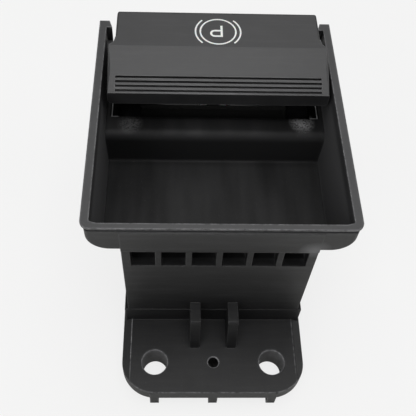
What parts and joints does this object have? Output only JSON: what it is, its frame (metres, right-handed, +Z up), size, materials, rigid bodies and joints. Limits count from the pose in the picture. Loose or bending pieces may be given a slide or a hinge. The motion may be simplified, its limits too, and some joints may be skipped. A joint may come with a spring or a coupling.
{
  "type": "electric parking brake switch",
  "caption": "Console tray with a finger well, a ribbed pull lever across its rear with the switch mechanism below, and a hollow neck on a bolted foot.",
  "frame": {"origin": "Midway between the two foot holes, on the plane of the foot's boss ends, where the part seats when it is bolted down.", "axes": "+X to the right across the tray, +Y from the foot towards the lever (towards the driver in use), +Z up out of the tray."},
  "size_m": [0.07, 0.1039, 0.0668],
  "materials": {
    "housing_plastic": "fine grained black",
    "lever_plastic": "satin black",
    "inner_plastic": "smooth black",
    "white_inlay": "translucent white",
    "clear_plastic": "clear",
    "steel": "bright",
    "spring_steel": "oiled",
    "pad_rubber": "matt",
    "slider_plastic": "natural acetal",
    "copper": "rolled",
    "board": "green solder mask",
    "lamp": "clear resin",
    "chip_plastic": "moulded",
    "tinned": "tinned"
  },
  "bodies": {
    "base": {"tray_housing": "housing_plastic", "lever_axle": "steel", "left_return_spring": "spring_steel", "right_return_spring": "spring_steel", "push_stop_pads": "pad_rubber", "pull_stop_pads": "pad_rubber", "contact_tracks": "copper", "circuit_board": "board", "indicator_lamp": "lamp", "control_chip": "chip_plastic", "board_parts": "tinned", "connector_pins": "tinned", "switch_case": "inner_plastic", "case_cover": "inner_plastic", "case_screws": "steel", "cover_clips": "spring_steel"},
    "lever": {"lever_cover": "lever_plastic", "lever_frame": "inner_plastic", "brake_symbol": "white_inlay", "light_guide": "clear_plastic"},
    "slider_body": {"slider": "slider_plastic", "wiper_contacts": "copper"}
  },
  "joints": [
    {"name": "lever_pivot", "type": "hinge", "parent": "base", "child": "lever", "pos_m": [0, 0.0815, 0.0555], "axis": [-1, 0, 0], "range_deg": [-8, 12], "stiffness_Nm_per_rad": 0.6},
    {"name": "slider_travel", "type": "slide", "parent": "base", "child": "slider_body", "axis": [0, 1, 0], "range_m": [-0.0036, 0.0025]}
  ],
  "couplings": [
    {"joint": "slider_travel", "follows": "lever_pivot", "m_per_rad": -0.0164}
  ]
}
